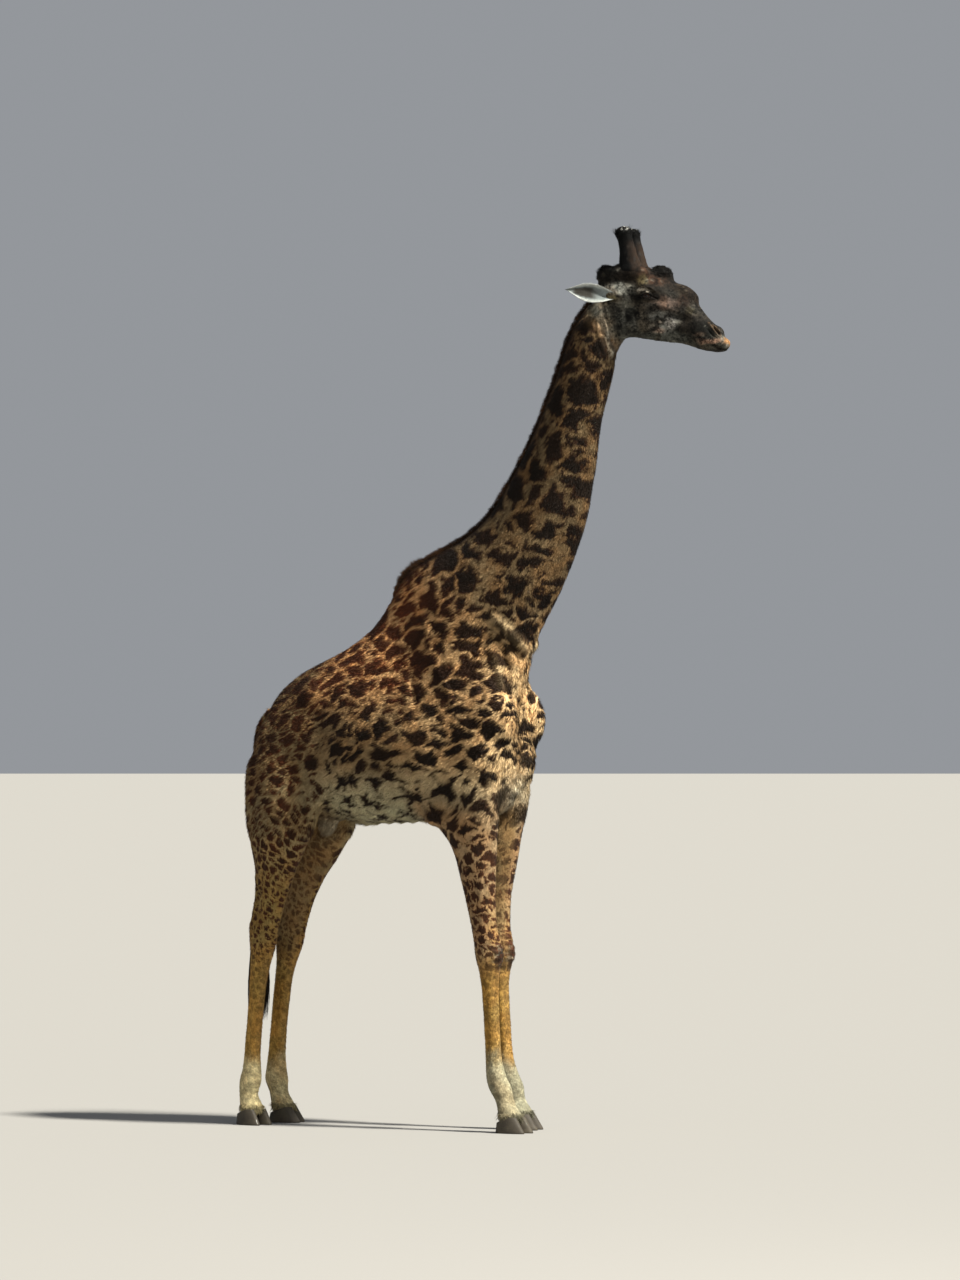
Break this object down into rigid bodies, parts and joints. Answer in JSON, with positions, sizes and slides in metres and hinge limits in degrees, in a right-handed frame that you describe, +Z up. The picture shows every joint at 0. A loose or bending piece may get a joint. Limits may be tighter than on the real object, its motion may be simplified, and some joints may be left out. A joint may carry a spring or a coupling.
{
  "type": "giraffe",
  "caption": "Standing adult bull giraffe, still model: long sloping neck, horned head turned a little to its left, jagged dark patches, pale lower legs and cloven hooves.",
  "frame": {"origin": "on the floor, at the middle of the bounding box", "axes": "+Z up, +X towards the head, +Y to the animal's left"},
  "size_m": [2.9148, 0.7582, 4.984],
  "materials": {
    "coat": "short flat hair, very dark brown jagged patches on tan, pale lower legs and belly",
    "hoof": "dull dark grey-brown horn",
    "eye": "wet, glossy",
    "horn": "dark hair over bone, black hair round a worn bare tip",
    "ear": "short pale hair, dark inside",
    "mane": "short upright dark brown hair",
    "tassel": "long black hair"
  },
  "bodies": {
    "root": {"trunk": "coat", "neck_lower": "coat", "neck_upper": "coat", "head": "coat", "foreleg_left_upper": "coat", "foreleg_left_lower": "coat", "foreleg_right_upper": "coat", "foreleg_right_lower": "coat", "hindleg_left_upper": "coat", "hindleg_left_lower": "coat", "hindleg_right_upper": "coat", "hindleg_right_lower": "coat", "tail": "coat", "hoof_fore_left_left_claw": "hoof", "hoof_fore_left_right_claw": "hoof", "hoof_fore_right_left_claw": "hoof", "hoof_fore_right_right_claw": "hoof", "hoof_hind_left_left_claw": "hoof", "hoof_hind_left_right_claw": "hoof", "hoof_hind_right_left_claw": "hoof", "hoof_hind_right_right_claw": "hoof", "eye_left": "eye", "eye_right": "eye", "ossicone_left": "horn", "ossicone_right": "horn", "ear_left": "ear", "ear_right": "ear", "mane": "mane", "tail_tassel": "tassel"}
  },
  "joints": []
}
